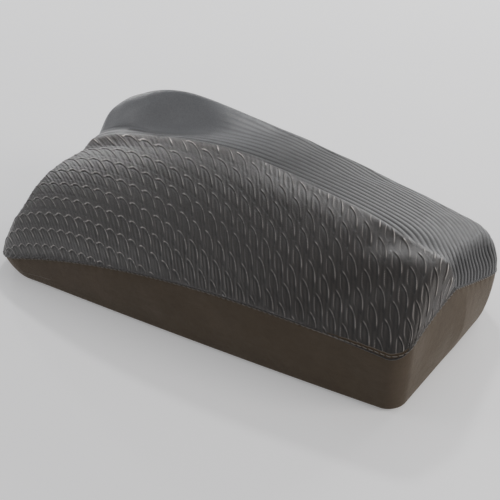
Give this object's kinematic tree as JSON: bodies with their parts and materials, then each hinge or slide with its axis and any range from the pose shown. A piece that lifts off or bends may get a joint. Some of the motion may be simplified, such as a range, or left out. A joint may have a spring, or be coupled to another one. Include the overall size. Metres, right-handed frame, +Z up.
{
  "type": "chair armrest pad",
  "caption": "Contoured foam pad that straps on a chair's armrest, with a creased patterned knit top, plain side band and zipped cover.",
  "frame": {"origin": "centre of the base, on the plane that the pad stands on", "axes": "+X along the pad to its high square end, +Y to the steep far side with the zip, +Z up"},
  "size_m": [0.2649, 0.1293, 0.0764],
  "materials": {
    "foam": "matt open-cell memory foam",
    "liner_cloth": "thin smooth tricot",
    "knit_cloth": "raised jacquard knit with a soft sheen",
    "band_cloth": "fine smooth plain cloth",
    "base_cloth": "coarse plain weave",
    "grip_rubber": "soft matt rubber",
    "thread": "twisted sewing thread",
    "tape_cloth": "woven tape",
    "tooth_plastic": "moulded plastic",
    "zip_metal": "dark lacquered zinc",
    "strap_webbing": "ribbed elastic webbing",
    "hook_tape": "fine moulded hooks",
    "loop_tape": "brushed loops"
  },
  "bodies": {
    "pad": {"foam_core": "foam", "foam_liner": "liner_cloth", "top_panel": "knit_cloth", "side_band": "band_cloth", "base_panel": "base_cloth", "grip_dots": "grip_rubber", "seam_thread": "thread", "base_seam_thread": "thread", "zip_tape_upper": "tape_cloth", "zip_tape_lower": "tape_cloth", "zip_teeth_upper": "tooth_plastic", "zip_teeth_lower": "tooth_plastic", "zip_stops": "zip_metal", "front_loop_patch": "loop_tape", "rear_loop_patch": "loop_tape", "strap_anchors": "strap_webbing"},
    "zip_slider": {"zip_slider": "zip_metal", "zip_pull_pin": "zip_metal"},
    "zip_pull": {"zip_pull": "zip_metal"},
    "front_strap": {"front_strap": "strap_webbing", "front_strap_hook": "hook_tape"},
    "rear_strap": {"rear_strap": "strap_webbing", "rear_strap_hook": "hook_tape"}
  },
  "joints": [
    {"name": "zip_slide", "type": "slide", "parent": "pad", "child": "zip_slider", "axis": [1, 0, 0], "range_m": [-0.1345, 0]},
    {"name": "pull_flip", "type": "hinge", "parent": "zip_slider", "child": "zip_pull", "pos_m": [0.0695, 0.06346, 0.01767], "axis": [0, 0.1273, 0.9919], "range_deg": [0, 170]},
    {"name": "front_strap_open", "type": "hinge", "parent": "pad", "child": "front_strap", "pos_m": [0.062, 0.049, 0.00055], "axis": [1, 0, 0], "range_deg": [0, 110]},
    {"name": "rear_strap_open", "type": "hinge", "parent": "pad", "child": "rear_strap", "pos_m": [-0.062, 0.049, 0.00055], "axis": [1, 0, 0], "range_deg": [0, 110]}
  ]
}
